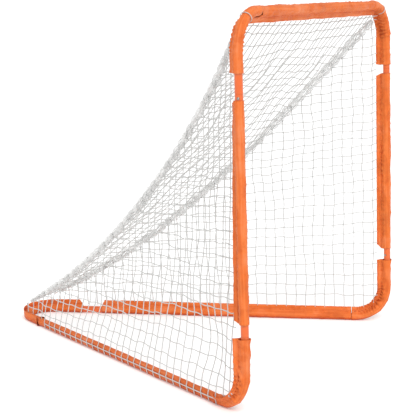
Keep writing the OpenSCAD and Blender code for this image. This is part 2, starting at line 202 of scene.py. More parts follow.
class Tubes:
    """Gathers many thin round cords into one mesh."""

    def __init__(self, sides):
        self.sides = sides
        self.points, self.faces, self.uvs, self.count = [], [], [], 0

    def add(self, line, radius):
        """A cord along a line of points. radius is one number or one for each point."""
        line = np.asarray(line, float)
        n = len(line)
        radius = np.broadcast_to(radius, n)
        ahead = np.gradient(line, axis=0)
        ahead /= np.linalg.norm(ahead, axis=1)[:, None]
        guide = vec(0, 0, 1) if abs(ahead[0][2]) < 0.8 else vec(0, 1, 0)
        across = np.cross(ahead, guide)
        across /= np.linalg.norm(across, axis=1)[:, None]
        over = np.cross(across, ahead)
        angle = np.arange(self.sides) * 2 * math.pi / self.sides
        ring = (np.cos(angle)[None, :, None] * across[:, None]
                + np.sin(angle)[None, :, None] * over[:, None])
        self.points.append((line[:, None] + radius[:, None, None] * ring).reshape(-1, 3))
        self.faces += grid_faces(n, self.sides, self.count, closed=True).tolist()
        self.faces.append(list(range(self.count, self.count + self.sides))[::-1])
        last = self.count + (n - 1) * self.sides
        self.faces.append(list(range(last, last + self.sides)))
        around = np.arange(self.sides) / self.sides
        pairs = np.meshgrid(distance_along(line), around, indexing="ij")
        self.uvs.append(np.stack(pairs, -1).reshape(-1, 2))
        self.count += n * self.sides

    def ball(self, centre, radii, axes):
        """A small squashed ball, for a knot, with its radii along three axes."""
        rings, sides = KNOT_RINGS, KNOT_SIDES
        lat = np.linspace(0, math.pi, rings + 2)[1:-1]
        lon = np.arange(sides) * 2 * math.pi / sides
        grid = np.stack([np.sin(lat)[:, None] * np.cos(lon)[None, :],
                         np.sin(lat)[:, None] * np.sin(lon)[None, :],
                         np.cos(lat)[:, None] * np.ones(sides)[None, :]], -1).reshape(-1, 3)
        local = np.vstack([grid, [[0, 0, 1], [0, 0, -1]]]) * np.asarray(radii)
        self.points.append(centre + local @ np.asarray(axes))
        self.faces += grid_faces(rings, sides, self.count, closed=True)[:, ::-1].tolist()
        top, bottom = self.count + rings * sides, self.count + rings * sides + 1
        low = self.count + (rings - 1) * sides
        for k in range(sides):
            self.faces.append([top, self.count + k, self.count + (k + 1) % sides])
            self.faces.append([bottom, low + (k + 1) % sides, low + k])
        self.uvs.append(np.column_stack([local[:, 2], np.arctan2(local[:, 1], local[:, 0])]))
        self.count += len(local)

    def build(self, name):
        return add_mesh(name, np.vstack(self.points), self.faces, np.vstack(self.uvs))


# ------------------------------------------------------------------ materials


class Shader:
    """Short calls to build one node material."""

    def __init__(self, name, **sockets):
        self.material = bpy.data.materials.new(name)
        self.material.use_nodes = True
        self.tree = self.material.node_tree
        self.surface = self.tree.nodes["Principled BSDF"]
        for socket, value in sockets.items():
            self.surface.inputs[socket.replace("_", " ")].default_value = value

    def node(self, kind, links=None, **settings):
        made = self.tree.nodes.new(kind)
        for key, value in settings.items():
            if hasattr(made, key):
                setattr(made, key, value)
            else:
                made.inputs[key.replace("_", " ")].default_value = value
        for socket, source in (links or {}).items():
            self.tree.links.new(source, made.inputs[socket])
        return made

    def link(self, source, socket):
        self.tree.links.new(source, self.surface.inputs[socket])

    def coordinates(self, kind="Object"):
        return self.node("ShaderNodeTexCoord").outputs[kind]

    def noise(self, vector, scale, detail=3.0, roughness=0.5):
        return self.node("ShaderNodeTexNoise", {"Vector": vector}, Scale=scale,
                         Detail=detail, Roughness=roughness).outputs["Fac"]

    def ramp(self, factor, *stops):
        """A colour ramp with (place, colour) stops."""
        made = self.node("ShaderNodeValToRGB", {"Fac": factor})
        elements = made.color_ramp.elements
        while len(elements) < len(stops):
            elements.new(0.5)
        for element, (place, colour) in zip(elements, stops):
            element.position = place
            element.color = (*colour, 1)
        return made.outputs["Color"]

    def math(self, operation, a, b):
        made = self.node("ShaderNodeMath", operation=operation)
        for socket, value in zip(made.inputs, (a, b)):
            if isinstance(value, (int, float)):
                socket.default_value = value
            else:
                self.tree.links.new(value, socket)
        return made.outputs["Value"]

    def multiplied(self, a, b):
        """The product of two colours."""
        made = self.node("ShaderNodeMix", {6: a, 7: b}, data_type="RGBA", blend_type="MULTIPLY")
        made.inputs["Factor"].default_value = 1.0
        return made.outputs[2]

    def bump(self, height, distance, strength=1.0, under=None):
        links = {"Height": height}
        if under is not None:
            links["Normal"] = under
        return self.node("ShaderNodeBump", links, Distance=distance,
                         Strength=strength).outputs["Normal"]

    def bands(self, vector, length, axis):
        """Sine bands of one wavelength along an axis of the given vector."""
        return self.node("ShaderNodeTexWave", {"Vector": vector}, bands_direction=axis,
                         Scale=2 * math.pi / 20 / length).outputs["Fac"]


def shade(colour, amount):
    return tuple(min(1.0, c * amount) for c in colour)


# Linear colours
FABRIC_ORANGE = (0.87, 0.185, 0.031)
STEEL_ORANGE = (0.76, 0.125, 0.013)
CORD_WHITE = (0.63, 0.63, 0.615)
# The seam's twine is the same cord as the net's, painted much lighter to cancel the shade among its
# close turns
SEAM_BRIGHTENED_WHITE = (0.93, 0.93, 0.92)
ZINC = (0.40, 0.38, 0.35)
FADED_ORANGE = (1.0, 0.42, 0.22)

THREAD_STEP = 1.1 * MM
# How finely the painted sheen and shade streaks run around a sleeve and along it. A UV map has no
# third value to stretch
STREAKS_PER_METRE = (150.0, 6.0, 1.0)


def sleeve_material():
    """Plain woven polyester, with fading, painted pale sheen streaks and dark shade streaks along
    the sleeve, and painted shade in its hollows and folds.
    """
    s = Shader("sleeve_fabric", Sheen_Weight=0.08, Sheen_Roughness=0.4,
               Specular_IOR_Level=0.25)
    place = s.coordinates()
    weave = s.coordinates("UV")
    warp = s.bands(weave, THREAD_STEP, "X")
    weft = s.bands(weave, THREAD_STEP, "Y")
    cloth = s.math("MULTIPLY", warp, weft)
    fade = s.noise(place, 9.0, 4.0, 0.6)
    colour = s.ramp(fade, (0.25, shade(FABRIC_ORANGE, 0.86)), (0.5, FABRIC_ORANGE),
                    (0.78, tuple(mix(np.array(FABRIC_ORANGE), np.array(FADED_ORANGE), 0.35))))
    # Painted light: streaks along the sleeve, paler and bluer where they paint sheen, darker where
    # they paint the shade of long folds
    drawn_out = s.node("ShaderNodeVectorMath", {0: weave}, operation="MULTIPLY")
    drawn_out.inputs[1].default_value = STREAKS_PER_METRE
    sheen_and_shade_streaks = s.noise(drawn_out.outputs["Vector"], 1.0, 2.0, 0.5)
    sheen_and_shade_streaked = s.ramp(sheen_and_shade_streaks, (0.4, (0.93, 0.88, 0.82)), (0.5, (0.98, 0.98, 0.98)),
                      (0.6, (1.02, 1.16, 1.5)))
    colour = s.multiplied(colour, sheen_and_shade_streaked)
    fibres = s.noise(place, 900.0, 2.0, 0.6)
    tint = s.ramp(s.math("MULTIPLY", fibres, cloth), (0.0, (0.86, 0.84, 0.82)),
                  (0.5, (1.0, 1.0, 1.0)))
    crumple = s.noise(place, 26.0, 4.0, 0.5)
    # Painted shade: the low parts of the crumple are darkened, as if shade lay in the creases'
    # hollows
    hollow_shade = s.ramp(crumple, (0.36, (0.90, 0.83, 0.74)), (0.46, (1.0, 1.0, 1.0)))
    # Painted shade: the colour is darkened where ambient occlusion finds fabric close by, in folds
    # and under the flaps
    openness = s.node("ShaderNodeAmbientOcclusion", Distance=22 * MM, samples=8).outputs["AO"]
    folds = s.ramp(openness, (0.3, (0.70, 0.42, 0.28)), (0.92, (1.0, 1.0, 1.0)))
    painted_shade = s.multiplied(hollow_shade, folds)
    s.link(s.multiplied(s.multiplied(colour, tint), painted_shade), "Base Color")
    s.link(s.ramp(crumple, (0.3, (0.52, 0.52, 0.52)), (0.7, (0.68, 0.68, 0.68))), "Roughness")
    creased = s.bump(crumple, 8.0 * MM, 1.0)
    s.link(s.bump(cloth, 0.25 * MM, 0.7, creased), "Normal")
    return s.material


def steel_material():
    """Powder coat: orange-peel surface, faint scuffs."""
    s = Shader("powder_coat", Coat_Weight=0.35, Coat_Roughness=0.22)
    place = s.coordinates()
    peel = s.noise(place, 420.0, 2.0)
    scuff = s.noise(place, 38.0, 6.0, 0.75)
    s.link(s.ramp(scuff, (0.3, shade(STEEL_ORANGE, 0.9)), (0.62, STEEL_ORANGE),
                  (0.78, (0.95, 0.30, 0.12))), "Base Color")
    s.link(s.ramp(scuff, (0.35, (0.3, 0.3, 0.3)), (0.75, (0.5, 0.5, 0.5))), "Roughness")
    s.link(s.bump(peel, 0.3 * MM, 0.35), "Normal")
    return s.material


def zinc_material():
    """Bright spring steel with a drawn grain."""
    s = Shader("spring_steel", Metallic=1.0)
    place = s.coordinates()
    grain = s.noise(place, 650.0, 4.0, 0.7)
    patches = s.noise(place, 120.0, 3.0)
    s.link(s.ramp(patches, (0.3, shade(ZINC, 0.85)), (0.7, shade(ZINC, 1.15))), "Base Color")
    s.link(s.ramp(grain, (0.2, (0.22, 0.22, 0.22)), (0.8, (0.38, 0.38, 0.38))), "Roughness")
    s.link(s.bump(grain, 0.15 * MM, 0.3), "Normal")
    return s.material


def cord_material(name, colour, lay):
    """Twisted white twine. lay is the length of one turn of a strand."""
    s = Shader(name, Sheen_Weight=0.3, Sheen_Roughness=0.5, Roughness=0.62,
               Specular_IOR_Level=0.3)
    place = s.coordinates()
    along = s.node("ShaderNodeSeparateXYZ", {"Vector": s.coordinates("UV")})
    turned = s.math("ADD", s.math("DIVIDE", along.outputs["X"], lay), along.outputs["Y"])
    strand = s.math("SINE", s.math("MULTIPLY", turned, 2 * math.pi * 3), 0)
    grime = s.noise(place, 24.0, 4.0, 0.6)
    fuzz = s.noise(place, 1500.0, 2.0)
    s.link(s.ramp(grime, (0.3, shade(colour, 0.93)), (0.6, colour),
                  (0.8, shade(colour, 1.04))), "Base Color")
    low = s.bump(fuzz, 0.3 * MM, 0.5)
    s.link(s.bump(strand, 0.35 * MM, 0.6, low), "Normal")
    return s.material


def thread_material():
    """Waxed orange sewing thread, darker than the fabric."""
    s = Shader("sewing_thread", Roughness=0.45)
    place = s.coordinates()
    wear = s.noise(place, 300.0, 3.0)
    s.link(s.ramp(wear, (0.3, (0.72, 0.16, 0.05)), (0.7, (0.93, 0.28, 0.10))), "Base Color")
    s.link(s.bump(wear, 0.1 * MM, 0.5), "Normal")
    return s.material


def floor_material():
    s = Shader("floor_white", Roughness=0.8, Emission_Color=(1, 1, 1, 1), Emission_Strength=0.16)
    s.link(s.ramp(s.noise(s.coordinates(), 3.0), (0.3, (0.94, 0.94, 0.94)),
                  (0.7, (0.96, 0.96, 0.96))), "Base Color")
    return s.material


def paint(obj, material):
    obj.data.materials.clear()
    obj.data.materials.append(material)


# ------------------------------------------------------------------ sleeves

FABRIC_T = 0.8 * MM
RING_R = 15.0 * MM
SLACK = 1.6 * MM
FLAP_EDGE = 39.0 * MM
FLAP_ROOT = 20.5 * MM
ROLLED_TOP = 22.5 * MM
LAYER_GAP = 0.45 * MM
# How far round the tube the flap goes as a sleeve turns
ROLL_TURN = math.radians(84)
# Degrees from the flap to each end of the ring, standing and turned
RING_OPENS = 34
ROLLED_INNER = 9
ROLLED_OUTER = 3
ROW_STEP = 4.0 * MM
FLAP_COLUMNS = 8
RING_COLUMNS = 37
# The cloth laid flat: round the ring and both layers of the flap, less the ring's opening
MESH_ALONG = 37.5 * MM
MESH_UP = 35.6 * MM

# Heights of the creases in a sleeve's ring, and how far apart its puckers are
LONG_FOLD_H = 1.5 * MM
SLANT_FOLD_H = 1.7 * MM
FOLD_SINK = 0.5 * MM
PUCKER_H = 1.3 * MM
PUCKER_STEP = 19 * MM
BEND_PUCKER_H = 7.5 * MM
BEND_PUCKER_STEP = 15 * MM
# The flap's own waves, and how far the net's cords and the bends pull its edge in
FLAP_SWING = 1.6 * MM
FLAP_PUCKER = 0.7 * MM
FLAP_BEND_WAVE = 6.0 * MM
CORD_PULL = 0.3 * MM
BEND_PULL = 4 * MM
# How far in from its end a sleeve's mouth starts to open
MOUTH_REACH = 28 * MM


def straight_path(start, end, flap):
    """Rows of a straight sleeve: place, way ahead, flap direction, inward bend (none)."""
    length = np.linalg.norm(end - start)
    ahead = (end - start) / length
    s = np.linspace(0, length, max(8, round(length / ROW_STEP)))
    n = len(s)
    return {"s": s, "place": start + s[:, None] * ahead, "ahead": np.tile(ahead, (n, 1)),
            "flap": np.tile(flap, (n, 1)), "inner": np.zeros((n, 3)), "length": length}


def bent_path(corner, leg_a, leg_b, radius, end_a, end_b, flap):
    """Rows round a bend, from the end of leg a to the end of leg b. flap is its way on leg a."""
    half = math.acos(np.dot(leg_a, leg_b)) / 2
    axis = unit(np.cross(leg_b, leg_a))
    out = np.cross(axis, leg_a)
    centre = corner + unit(leg_a + leg_b) * radius / math.sin(half)
    tangent = radius / math.tan(half)
    turn = math.pi - 2 * half
    run_a, run_b = end_a - tangent, end_b - tangent
    length = run_a + radius * turn + run_b
    s = np.linspace(0, length, round(length / ROW_STEP))
    angle = np.clip((s - run_a) / radius, 0, turn)
    radial = np.cos(angle)[:, None] * out - np.sin(angle)[:, None] * leg_a
    ahead = -np.sin(angle)[:, None] * out - np.cos(angle)[:, None] * leg_a
    extra = np.minimum(s - run_a, 0) + np.maximum(s - run_a - radius * turn, 0)
    place = centre + radius * radial + extra[:, None] * ahead
    turned = np.dot(flap, out) * radial + np.dot(flap, axis) * axis
    edge = 12 * MM
    bent = (smooth_step((s - run_a) / edge + 0.5)
            * smooth_step((run_a + radius * turn - s) / edge + 0.5))
    return {"s": s, "place": place, "ahead": ahead, "flap": turned,
            "inner": -radial * (bent / radius)[:, None], "length": length}


def swing_flap(path, outward, start, end):
    """Turns a path's flap towards a direction, by one angle at its start and one at its end."""
    angle = mix(start, end, smooth_step(path["s"] / path["length"]))[:, None]
    side = np.cross(path["ahead"], path["flap"])
    side = side * np.sign(side[0] @ outward)
    path["flap"] = np.cos(angle) * path["flap"] + np.sin(angle) * side
    return path


def sleeve_sections(roll):
    """The fabric's line in each row: flap edge, round the tube, flap edge.

    roll is 0 where the flap stands on the tube and 1 where the sleeve has turned and the flap
    leaves the tube's side. Each point of a row is a place along the flap and a place across it.
    """
    roll = np.asarray(roll, float)[:, None]
    root_angle = -roll * ROLL_TURN
    root_out = mix(FLAP_ROOT - SLACK, RING_R + 0.8 * MM, roll)
    root = np.stack([SLACK + root_out * np.cos(root_angle), root_out * np.sin(root_angle)], -1)
    edge_a = mix(FLAP_EDGE, ROLLED_TOP, roll)
    share = np.linspace(0, 1, FLAP_COLUMNS)[None, :]
    flap_a = mix(edge_a, root[..., 0], share)
    lean = 1.2 * MM * roll * (1 - share)
    upper = np.stack([flap_a, root[..., 1] - lean + LAYER_GAP + 0 * share], -1)
    lower = np.stack([flap_a, root[..., 1] - lean - LAYER_GAP + 0 * share], -1)
    inner = root_angle + np.radians(mix(RING_OPENS, ROLLED_INNER, roll))
    outer = root_angle + 2 * math.pi - np.radians(mix(RING_OPENS, ROLLED_OUTER, roll))
    arc = mix(inner, outer, np.linspace(0, 1, RING_COLUMNS)[None, :])
    ring = np.stack([SLACK + RING_R * np.cos(arc), RING_R * np.sin(arc)], -1)
    lead_in = [mix(upper[:, -1:], ring[:, :1], t) for t in (0.35, 0.7)]
    lead_out = [mix(ring[:, -1:], lower[:, -1:], t) for t in (0.3, 0.65)]
    return np.concatenate([upper, *lead_in, ring, *lead_out, lower[:, ::-1]], axis=1)


def make_sleeve(name, path, seed, ends, material, grounded=False, roll=(0, 0), slack=1.0,
                folds=()):
    """One fabric sleeve along a path, creased where it bends and loose elsewhere.

    ends gives, for each end, how far the flap's corner is cut back, or reaches on if that is
    negative, and how far the mouth stands off the tube. roll is how far the sleeve has turned
    at each end, and slack is how loosely it lies. Each fold is a ridge: where it starts and
    ends along the sleeve, where it starts and ends in from the flap's outer edge, its height
    and its width. A grounded sleeve stays above the floor.
    """
    s = path["s"][:, None]
    turned = mix(roll[0], roll[1], smooth_step(path["s"] / path["length"]))
    line = sleeve_sections(turned)
    along_flap, across = line[..., 0], line[..., 1]
    step = np.gradient(line, axis=1)
    out_a, out_b = step[..., 1], -step[..., 0]
    size = np.hypot(out_a, out_b)
    out_a, out_b = out_a / size, out_b / size
    columns = line.shape[1]
    run = distance_along(line[len(line) // 2])
    side = np.cross(path["ahead"], path["flap"])
    column = np.arange(columns)
    from_edge = np.minimum(column, columns - 1 - column)[None, :]
    flapness = smooth_step(1 - from_edge / (FLAP_COLUMNS + 1.0))
    rootness = smooth_step(1 - np.abs(from_edge - FLAP_COLUMNS) / 14.0)
    ring_part = 1 - flapness

    # How much each line along the sleeve is squeezed by the bend, as a share of its length
    inner_flap = np.einsum("ij,ij->i", path["inner"], path["flap"])[:, None]
    inner_side = np.einsum("ij,ij->i", path["inner"], side)[:, None]
    squeeze = np.clip(inner_flap * along_flap + inner_side * across, 0, 0.6)

    wide = Waves(seed, 150 * MM, 50 * MM)
    slant = Waves(seed + 1, 60 * MM, 45 * MM)
    drift = Waves(seed + 2, 60 * MM, 50 * MM)
    swing = Waves(seed + 3, 110 * MM, 90 * MM)
    strength = Waves(seed + 4, 130 * MM, 60 * MM)
    around = run[None, :]
    mirrored = np.minimum(around, run[-1] - around)
    pucker = np.sin(2 * math.pi * s / PUCKER_STEP + 2.6 * drift(s, mirrored))
    bend_pucker = np.sin(2 * math.pi * s / BEND_PUCKER_STEP + 2.4 * drift(s + 0.3, mirrored))

    # Creases are sharp ridges along the lines where a slow wave is zero
    long_fold = (1 - np.abs(wide(s, around))).clip(0, 1) ** 3
    slant_fold = (1 - np.abs(slant(s, around))).clip(0, 1) ** 4
    uneven = 0.55 + 0.45 * strength(s, around)
    creases = LONG_FOLD_H * long_fold + SLANT_FOLD_H * slant_fold * uneven - FOLD_SINK
    lift = slack * ring_part * creases
    lift = lift + slack * rootness * PUCKER_H * pucker * uneven
    lift = lift + ring_part * np.sqrt(squeeze) * BEND_PUCKER_H * slack * bend_pucker
    from_outer = around[:, -1:] - around
    ridge = 0 * lift
    for s_from, s_to, in_from, in_to, height, width in folds:
        share = ((s - s_from) / (s_to - s_from)).clip(0, 1)
        off_line = (from_outer - mix(in_from, in_to, share)) / width
        off_end = np.maximum(s_from - s, s - s_to).clip(0) / width
        ridge = ridge + height * np.exp(-off_line ** 2 - off_end ** 2)

    # A hollow is never deeper than the room between the fabric and the tube
    room = (0.25 + 2.6 * rootness) * MM
    lift = np.where(lift < 0, -room * np.tanh(-lift / room), lift)

    # Both layers of the flap wave together
    wave = slack * FLAP_SWING * swing(s, 0) + slack * FLAP_PUCKER * pucker * uneven
    wave = wave + np.sqrt(squeeze[:, :1]) * FLAP_BEND_WAVE * bend_pucker
    wave = wave * flapness * (1 - 0.55 * turned[:, None])
    pull = CORD_PULL * flapness * (np.cos(2 * math.pi * s / MESH_ALONG) - 1)
    pull = pull - flapness * np.sqrt(squeeze) * BEND_PULL * (0.5 + 0.5 * drift(s, 0))

    a = along_flap + out_a * (lift * ring_part + ridge) + pull
    b = across + out_b * (lift * ring_part + ridge) + wave

    # At the ends the flap's corners are cut back, or reach on, and the mouths stand open
    shift = np.zeros_like(a)
    for at_end, (cut, flare) in zip((False, True), ends):
        gap = path["length"] - s if at_end else s
        near = smooth_step(1 - gap / MOUTH_REACH)
        sign = -1 if at_end else 1
        ragged = 1.0 * MM * Waves(seed + 7 + at_end, 30 * MM, 22 * MM)(around, 0)
        reach = flapness ** 1.5 if cut > 0 else smooth_step(3 * flapness)
        shift = shift + sign * near * (cut * reach + ragged)
        opening = flare * near ** 2 * ring_part * (1 + 0.5 * wide(s, around))
        a = a + out_a * opening
        b = b + out_b * opening

    points = (path["place"][:, None] + a[..., None] * path["flap"][:, None]
              + b[..., None] * side[:, None] + shift[..., None] * path["ahead"][:, None])
    if grounded:
        points[..., 2] = np.maximum(points[..., 2], 0.5 * MM)
    uvs = np.stack([np.broadcast_to(around, a.shape), np.broadcast_to(s, a.shape)], -1)
    obj = add_mesh(name, points.reshape(-1, 3), grid_faces(*a.shape), uvs.reshape(-1, 2))
    paint(obj, material)
    thick = obj.modifiers.new("fabric", "SOLIDIFY")
    thick.thickness = FABRIC_T
    thick.offset = 0
    return obj, points


STITCH_STEP = 4.2 * MM
STITCH_L = 0.72 * STITCH_STEP
STITCH_R = 0.28 * MM
STITCH_LIFT = 0.45 * MM
STITCH_INSET = 6 * MM


def stitch_rows(name, points, columns, material):
    """Straight stitches along some columns of a sleeve, standing just proud of the fabric."""
    thread = Tubes(4)
    for column in columns:
        line = points[:, column]
        ahead = np.gradient(line, axis=0)
        across = points[:, min(column + 1, points.shape[1] - 1)] - points[:, column - 1]
        normal = np.cross(ahead, across)
        normal /= np.linalg.norm(normal, axis=1)[:, None]
        run = distance_along(line)
        for start in np.arange(STITCH_INSET, run[-1] - STITCH_INSET, STITCH_STEP):
            at = start + np.array([0, 0.25, 0.75, 1.0]) * STITCH_L
            spot = np.column_stack([np.interp(at, run, line[:, k]) for k in range(3)])
            up = np.column_stack([np.interp(at, run, normal[:, k]) for k in range(3)])
            high = np.array([0.0, 1.0, 1.0, 0.0])[:, None] * STITCH_R + STITCH_LIFT
            thread.add(spot - up * high, STITCH_R)
    obj = thread.build(name)
    paint(obj, material)
    return obj


SLEEVE_SLACK = {"crossbar_sleeve": 1.5, "left_top_sleeve": 1.0, "right_top_sleeve": 1.8,
                "right_post_sleeve": 1.5, "left_bottom_sleeve": 1.7, "right_bottom_sleeve": 1.5}
# The slack of the left bottom sleeve lies in a few large folds
FOLDS = {"left_bottom_sleeve": [
    np.array(fold) * MM for fold in (
        (74, 132, 4, 34, 4.5, 5), (95, 150, 2, 20, 3.5, 4), (128, 136, 0, 36, 3.5, 4),
        (150, 160, 2, 30, 4.0, 4), (168, 200, 34, 4, 4.0, 4.5), (205, 215, 4, 34, 3.5, 4),
        (10, 80, 22, 20, 1.6, 2.5))]}


def make_sleeves(fabric, thread):
    cut, hang, tucked = 9 * MM, 1 * MM, -42 * MM
    wide_cut = {"left": 6 * MM, "right": 16 * MM}
    snug, loose, open_end = 0.2 * MM, 0.9 * MM, 2.6 * MM
    made = {}
    bar_from, bar_to = reach_along("crossbar_sleeve", TOP["left"], vec(1, 0, 0))
    made["crossbar_sleeve"] = (
        straight_path(TOP["left"] + bar_from * vec(1, 0, 0), TOP["left"] + bar_to * vec(1, 0, 0),
                      BAR_FLAP),
        ((tucked, snug), (tucked, snug)), False, ["crossbar_tube"], (0, 0))
    for side in SIDES:
        inwards = vec(-HAND[side], 0, 0)
        rolled = 1 if side == "left" else 0
        top_end = reach_along(f"{side}_top_sleeve", TOP[side], -POST)[1]
        bar_end = reach_along(f"{side}_top_sleeve", TOP[side], inwards)[1]
        made[f"{side}_top_sleeve"] = (
            bent_path(TOP[side], -POST, inwards, CORNER_R, top_end, bar_end, POST_FLAP[side]),
            ((hang, loose), (0, loose)), False, [f"{side}_top_elbow"], (0, 0))
        low, high = reach_along(f"{side}_post_sleeve", FRONT[side], POST)
        post_path = straight_path(FRONT[side] + low * POST, FRONT[side] + high * POST,
                                  POST_FLAP[side])
        if side == "left":
            swing_flap(post_path, -INWARD[side], *POST_FLAP_SWING)
        made[f"{side}_post_sleeve"] = (
            post_path, ((wide_cut[side], loose), (cut, loose)), False,
            [f"{side}_upright_tube"], (0, 0))
        post_end = reach_along(f"{side}_bottom_sleeve", FRONT[side], POST)[1]
        rail_end = reach_along(f"{side}_bottom_sleeve", FRONT[side], RAIL[side])[1]
        bottom_path = bent_path(FRONT[side], POST, RAIL[side], CORNER_R, post_end, rail_end,
                                POST_FLAP[side])
        if side == "left":
            swing_flap(bottom_path, -INWARD[side], BOTTOM_FLAP_SWING, BOTTOM_FLAP_SWING)
        made[f"{side}_bottom_sleeve"] = (
            bottom_path, ((hang, open_end), (0, snug)), True, [f"{side}_bottom_elbow"],
            (0, 0.35 * rolled))
        near, far = reach_along(f"{side}_rail_sleeve", REAR, -RAIL[side])
        made[f"{side}_rail_sleeve"] = (
            straight_path(REAR - far * RAIL[side], REAR - near * RAIL[side], RAIL_FLAP[side]),
            ((0, snug), (cut, loose)), True, [f"{side}_rail_tube"],
            (rolled, rolled))
    left_end = reach_along("rear_sleeve", REAR, -RAIL["left"])[1]
    right_end = reach_along("rear_sleeve", REAR, -RAIL["right"])[1]
    made["rear_sleeve"] = (
        bent_path(REAR, -RAIL["left"], -RAIL["right"], REAR_R, left_end, right_end, vec(0, 0, 1)),
        ((cut, 2 * open_end), (cut, open_end)), True, ["rear_tube"], (1, 0))

    for seed, (name, (path, ends, grounded, rests_on, roll)) in enumerate(made.items()):
        sleeve, points = make_sleeve(f"{name}_cloth", path, 11 * seed + 3, ends, fabric, grounded,
                                     roll, SLEEVE_SLACK.get(name, 1.0), FOLDS.get(name, ()))
        last = points.shape[1] - 1
        seam_column = FLAP_COLUMNS - 2
        stitching = stitch_rows(f"{name}_stitching", points, (seam_column, last - seam_column),
                                thread)
        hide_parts(name)
        for piece in (sleeve, stitching):
            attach(piece, GOAL)


# ------------------------------------------------------------------ net lines

# Where the seams start and end, how far they sag and are drawn in, and towards which end most
SEAM_TOP_IN = 36 * MM
SEAM_TOP_BACK = 62 * MM
SEAM_TOP_DROP = 13 * MM
SEAM_END_BACK = 175 * MM
SEAM_END_RISE = 55 * MM
SEAM_SAG = 78 * MM
SEAM_DRAW = 60 * MM
SAG_SKEW = -0.5
DRAW_SKEW = 0.7
SEAM_FROM = 0.01
SEAM_FULLNESS = {"left": 0.95, "right": 1.3}
SEAM_TO = 0.985
TOP_SAG = 0.75 * SEAM_SAG
NET_INSET = FLAP_EDGE + 1.5 * MM
# How far out from the sleeve's middle the cords lie on the flap and over a turned sleeve
FLAP_FACE = 2.4 * MM
OVER_RAIL = RING_R + 4.8 * MM
UNDER_RAIL = 7 * MM
CORD_R = 1.6 * MM
ROW_RISE = 90 * MM
TIE_R = RING_R + 3.4 * MM
TIE_PLACE = 0.62
NET_BULGE = 8 * MM
NET_DRIFT = 5 * MM
TOP_BULGE = 9 * MM
# How far in from its edges a side net hangs wholly free, how far above the flap's edge it has
# left a turned sleeve, and in what share of that it leaves a standing flap
FREE_EDGE = 120 * MM
FOOT = 140 * MM
FLAP_FOOT = 0.3
# How far along the rail and up the post the swung flap of the bottom sleeve pulls the net
SWING_ALONG = 120 * MM
SWING_FROM = 100 * MM
SWING_UP = 300 * MM
# Heights at which a row's rise starts, is full and ends
RISE_HEIGHTS = (0, 0.5, 1.15)
# How far a knot tilts the cords through it, in a side net and in the top net
COLUMN_TILT = 3.2 * MM
ROW_TILT = 7.0 * MM
TOP_COLUMN_TILT = 5.0 * MM
TOP_ROW_TILT = 8.0 * MM
# How far the knots stray from an even mesh, along the rail, up the post and in the top net
STRAY_ALONG = 1.2 * MM
STRAY_UP = 1.4 * MM
STRAY_TOP = 1.6 * MM
KNOT_SIZE = np.array([2.6, 2.3, 2.5]) * MM
TOP_KNOT_SIZE = np.array([2.5, 2.3, 2.5]) * MM


def bow(t, skew):
    """A bow from 0 up to 1 and back, fuller towards one end by its skew."""
    return 4 * t * (1 - t) * (1 + skew * (1 - 2 * t))


def seam_point(side, t):
    """A point on a seam's middle line. t runs from the top corner to the rear."""
    t = np.asarray(t, float)[..., None]
    diagonal = unit(REAR - TOP[side])
    down = unit(np.cross(INWARD[side], diagonal)) * HAND[side]
    start = (TOP[side] + SEAM_TOP_BACK * diagonal + SEAM_TOP_DROP * down
             + SEAM_TOP_IN * INWARD[side])
    end = REAR - SEAM_END_BACK * RAIL[side] + SEAM_END_RISE * RAIL_FLAP[side]
    return (mix(start, end, t) + SEAM_SAG * bow(t, SAG_SKEW) * down
            + SEAM_DRAW * bow(t, DRAW_SKEW) * INWARD[side])


